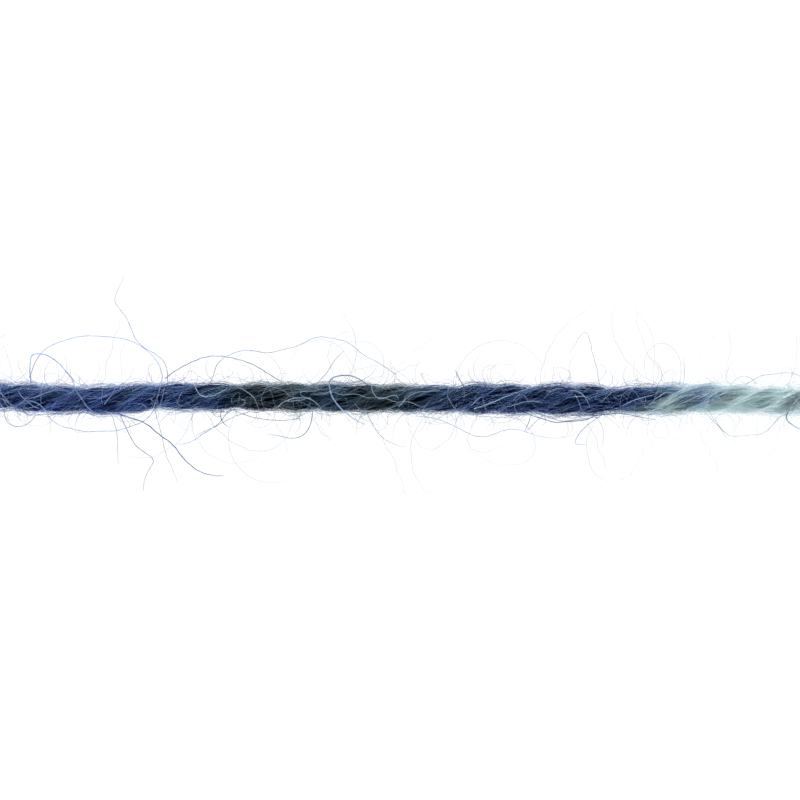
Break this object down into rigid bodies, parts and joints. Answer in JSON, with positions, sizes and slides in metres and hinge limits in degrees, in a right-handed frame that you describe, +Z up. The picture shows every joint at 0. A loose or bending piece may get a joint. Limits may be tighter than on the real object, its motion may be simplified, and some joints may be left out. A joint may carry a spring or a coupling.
{
  "type": "knitting yarn",
  "caption": "Cut length of fuzzy plied wool knitting yarn with loose stray fibres, lying straight on a surface, dyed in blue, near-black and pale teal.",
  "frame": {"origin": "on the surface that the yarn lies on, at the pressed-flat underside of one ply nearest the middle of the length", "axes": "+X along the yarn, +Y across it on the surface, +Z up"},
  "size_m": [0.09, 0.019, 0.0093],
  "materials": {
    "wool_ply": "matt, fuzzy dyed wool, variegated along its length from royal blue through near-black to pale teal",
    "wool_fuzz": "fine translucent stray wool fibres, pale steel blue against the light"
  },
  "bodies": {
    "root": {"ply_a": "wool_ply", "ply_b": "wool_ply", "stray_fibres_a": "wool_fuzz", "stray_fibres_b": "wool_fuzz"}
  },
  "joints": []
}
